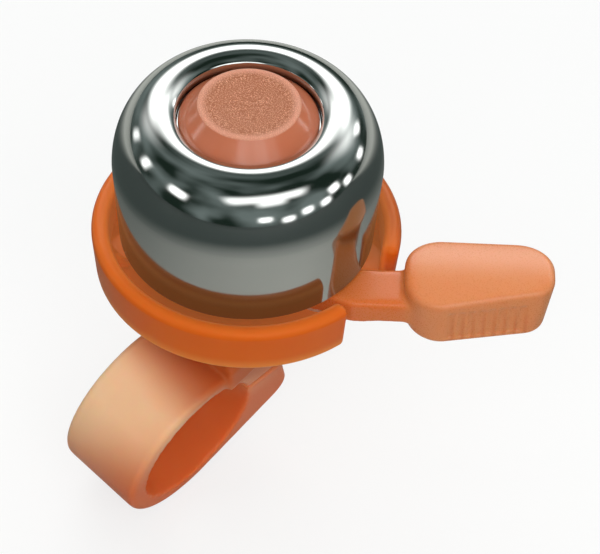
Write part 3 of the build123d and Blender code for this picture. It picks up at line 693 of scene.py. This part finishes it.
paper.tree.links.new(paper.shader.outputs[0], paper_mix.inputs[1])
paper.tree.links.new(paper_light.outputs[0], paper_mix.inputs[2])
paper_output = [node for node in paper.tree.nodes if node.type == "OUTPUT_MATERIAL"][0]
paper.tree.links.new(paper_mix.outputs[0], paper_output.inputs["Surface"])
wear(table, paper.material)


def lamp(name, turn, rise, distance, width, height, brightness):
    """A soft lamp that the chrome doesn't show. Turn goes from straight behind, to the right."""
    turn = math.radians(turn)
    rise = math.radians(rise)
    level = away * math.cos(turn) + aside * math.sin(turn)
    place = centre + (level * math.cos(rise) + Vector((0, 0, math.sin(rise)))) * distance
    bpy.ops.object.light_add(type="AREA", location=place)
    made = bpy.context.view_layer.objects.active
    made.name = name
    made.rotation_euler = (centre - place).to_track_quat("-Z", "Y").to_euler()
    made.data.shape = "RECTANGLE"
    made.data.size = width
    made.data.size_y = height
    made.data.energy = brightness * math.pi * width * height
    made.visible_camera = False
    made.visible_glossy = False


lamp("sky_lamp", 180, 44, 0.90, 1.0, 1.0, 1.35)
lamp("top_lamp", 0, 76, 0.90, 0.8, 0.8, 1.3)

# A window with soft edges, seen in the direction Toward, as a mask over the room.
window, window_in, window_out = group_of(
    "Soft Window",
    [("Vector", "NodeSocketVector", None), ("Toward", "NodeSocketVector", (0.0, 1.0, 0.0)),
     ("Aside", "NodeSocketVector", (1.0, 0.0, 0.0)), ("Upward", "NodeSocketVector", (0.0, 0.0, 1.0)),
     ("Half Width", "NodeSocketFloat", 0.1), ("Half Height", "NodeSocketFloat", 0.1),
     ("Softness", "NodeSocketFloat", 0.05)],
    ["Mask"])


def window_part(axis):
    """How far the direction leans along one of the window's own directions."""
    node = window.nodes.new("ShaderNodeVectorMath")
    node.operation = "DOT_PRODUCT"
    window.links.new(window_in.outputs["Vector"], node.inputs[0])
    window.links.new(window_in.outputs[axis], node.inputs[1])
    return node.outputs["Value"]


def window_edge(angle, half):
    """1 inside the half size, falling softly to 0 outside it."""
    past = reckon(window, "SUBTRACT", reckon(window, "ABSOLUTE", angle), window_in.outputs[half])
    return slope(window, reckon(window, "DIVIDE", past, window_in.outputs["Softness"]), 1.0, -1.0)


sideways = reckon(window, "ARCTAN2", window_part("Aside"), window_part("Toward"))
upwards = reckon(window, "ARCSINE", window_part("Upward"))
window_mask = reckon(window, "MULTIPLY", window_edge(sideways, "Half Width"),
                     window_edge(upwards, "Half Height"))
window.links.new(window_mask, window_out.inputs["Mask"])

room = bpy.data.worlds.new("dim_room")
room.use_nodes = True
bpy.context.scene.world = room
air = room.node_tree
dark = air.nodes["Background"]
around = air.nodes.new("ShaderNodeTexCoord")
patches = air.nodes.new("ShaderNodeTexNoise")
patches.inputs["Scale"].default_value = 1.9
patches.inputs["Detail"].default_value = 1.5
tones = air.nodes.new("ShaderNodeValToRGB")
tones.color_ramp.elements[0].position = 0.40
tones.color_ramp.elements[0].color = (0.016, 0.030, 0.022, 1.0)
tones.color_ramp.elements[1].position = 0.66
tones.color_ramp.elements[1].color = (0.23, 0.28, 0.27, 1.0)
air.links.new(around.outputs["Generated"], patches.inputs["Vector"])
air.links.new(patches.outputs["Fac"], tones.inputs["Fac"])
air.links.new(tones.outputs["Color"], dark.inputs["Color"])
# Each window: turn, rise, half width, half height and softness in degrees, then its brightness.
glow = 0.0
for turn, rise, half_width, half_height, softness, brightness in [
        (0, 35, 24, 11, 8, 3.2), (-44, 34, 8, 10, 10, 0.9), (48, 38, 10, 10, 12, 1.6),
        (160, 47, 28, 6, 6, 2.6), (156, 36, 10, 4, 5, 2.2),
        (130, 7, 3.6, 3.6, 3, 4.5), (164, 9, 4.5, 3, 3, 4.0), (146, 4, 4, 3, 3, 4.5),
        (114, 5, 3.5, 3.5, 3, 4.5), (103, 14, 4, 5, 3, 4.0), (90, 6, 3, 4, 3, 4.5), (67, 8, 3.5, 4, 3, 4.0),
        (48, 21, 3, 5, 4, 4.0), (-121, 21, 7, 5, 4, 4.0), (-84, 15, 3, 7, 4, 3.5), (-60, 12, 3, 6, 4, 2.5)]:
    turn = math.radians(turn)
    rise = math.radians(rise)
    level = away * math.cos(turn) + aside * math.sin(turn)
    pane = air.nodes.new("ShaderNodeGroup")
    pane.node_tree = window
    pane.inputs["Toward"].default_value = level * math.cos(rise) + Vector((0, 0, math.sin(rise)))
    pane.inputs["Upward"].default_value = Vector((0, 0, math.cos(rise))) - level * math.sin(rise)
    pane.inputs["Aside"].default_value = aside * math.cos(turn) - away * math.sin(turn)
    pane.inputs["Half Width"].default_value = math.radians(half_width)
    pane.inputs["Half Height"].default_value = math.radians(half_height)
    pane.inputs["Softness"].default_value = math.radians(softness)
    air.links.new(around.outputs["Generated"], pane.inputs["Vector"])
    glow = reckon(air, "MULTIPLY_ADD", pane.outputs["Mask"], brightness, glow)
panes = air.nodes.new("ShaderNodeBackground")
panes.inputs["Color"].default_value = (1.0, 1.0, 0.99, 1.0)
air.links.new(glow, panes.inputs["Strength"])
lit = air.nodes.new("ShaderNodeAddShader")
air.links.new(dark.outputs[0], lit.inputs[0])
air.links.new(panes.outputs[0], lit.inputs[1])
pale = air.nodes.new("ShaderNodeBackground")
pale.inputs["Color"].default_value = (0.93, 0.93, 0.92, 1.0)
ray = air.nodes.new("ShaderNodeLightPath")
either = air.nodes.new("ShaderNodeMixShader")
air.links.new(ray.outputs["Is Camera Ray"], either.inputs["Fac"])
air.links.new(lit.outputs[0], either.inputs[1])
air.links.new(pale.outputs[0], either.inputs[2])
air.links.new(either.outputs[0], air.nodes["World Output"].inputs["Surface"])
bpy.context.scene.view_settings.view_transform = "Standard"

# The camera looks down on the bell, rolled a little; it stands off from the middle of the dome's rim.
tip = math.radians(46.801)
roll = math.radians(2.333)
forward = away * math.cos(tip) - Vector((0.0, 0.0, math.sin(tip)))
above = aside.cross(forward)
across = aside * math.cos(roll) + above * math.sin(roll)
upward = above * math.cos(roll) - aside * math.sin(roll)
eye_from_centre = Vector((0.208188, -0.235167, 0.322474))
eye = centre + eye_from_centre
bpy.ops.object.camera_add(location=eye)
camera = bpy.context.view_layer.objects.active
camera.matrix_world = Matrix((
    (across.x, upward.x, -forward.x, eye.x), (across.y, upward.y, -forward.y, eye.y),
    (across.z, upward.z, -forward.z, eye.z), (0.0, 0.0, 0.0, 1.0)))
camera.data.sensor_width = 36.0
camera.data.lens = 180.225
camera.data.clip_end = 10.0
bpy.context.scene.camera = camera
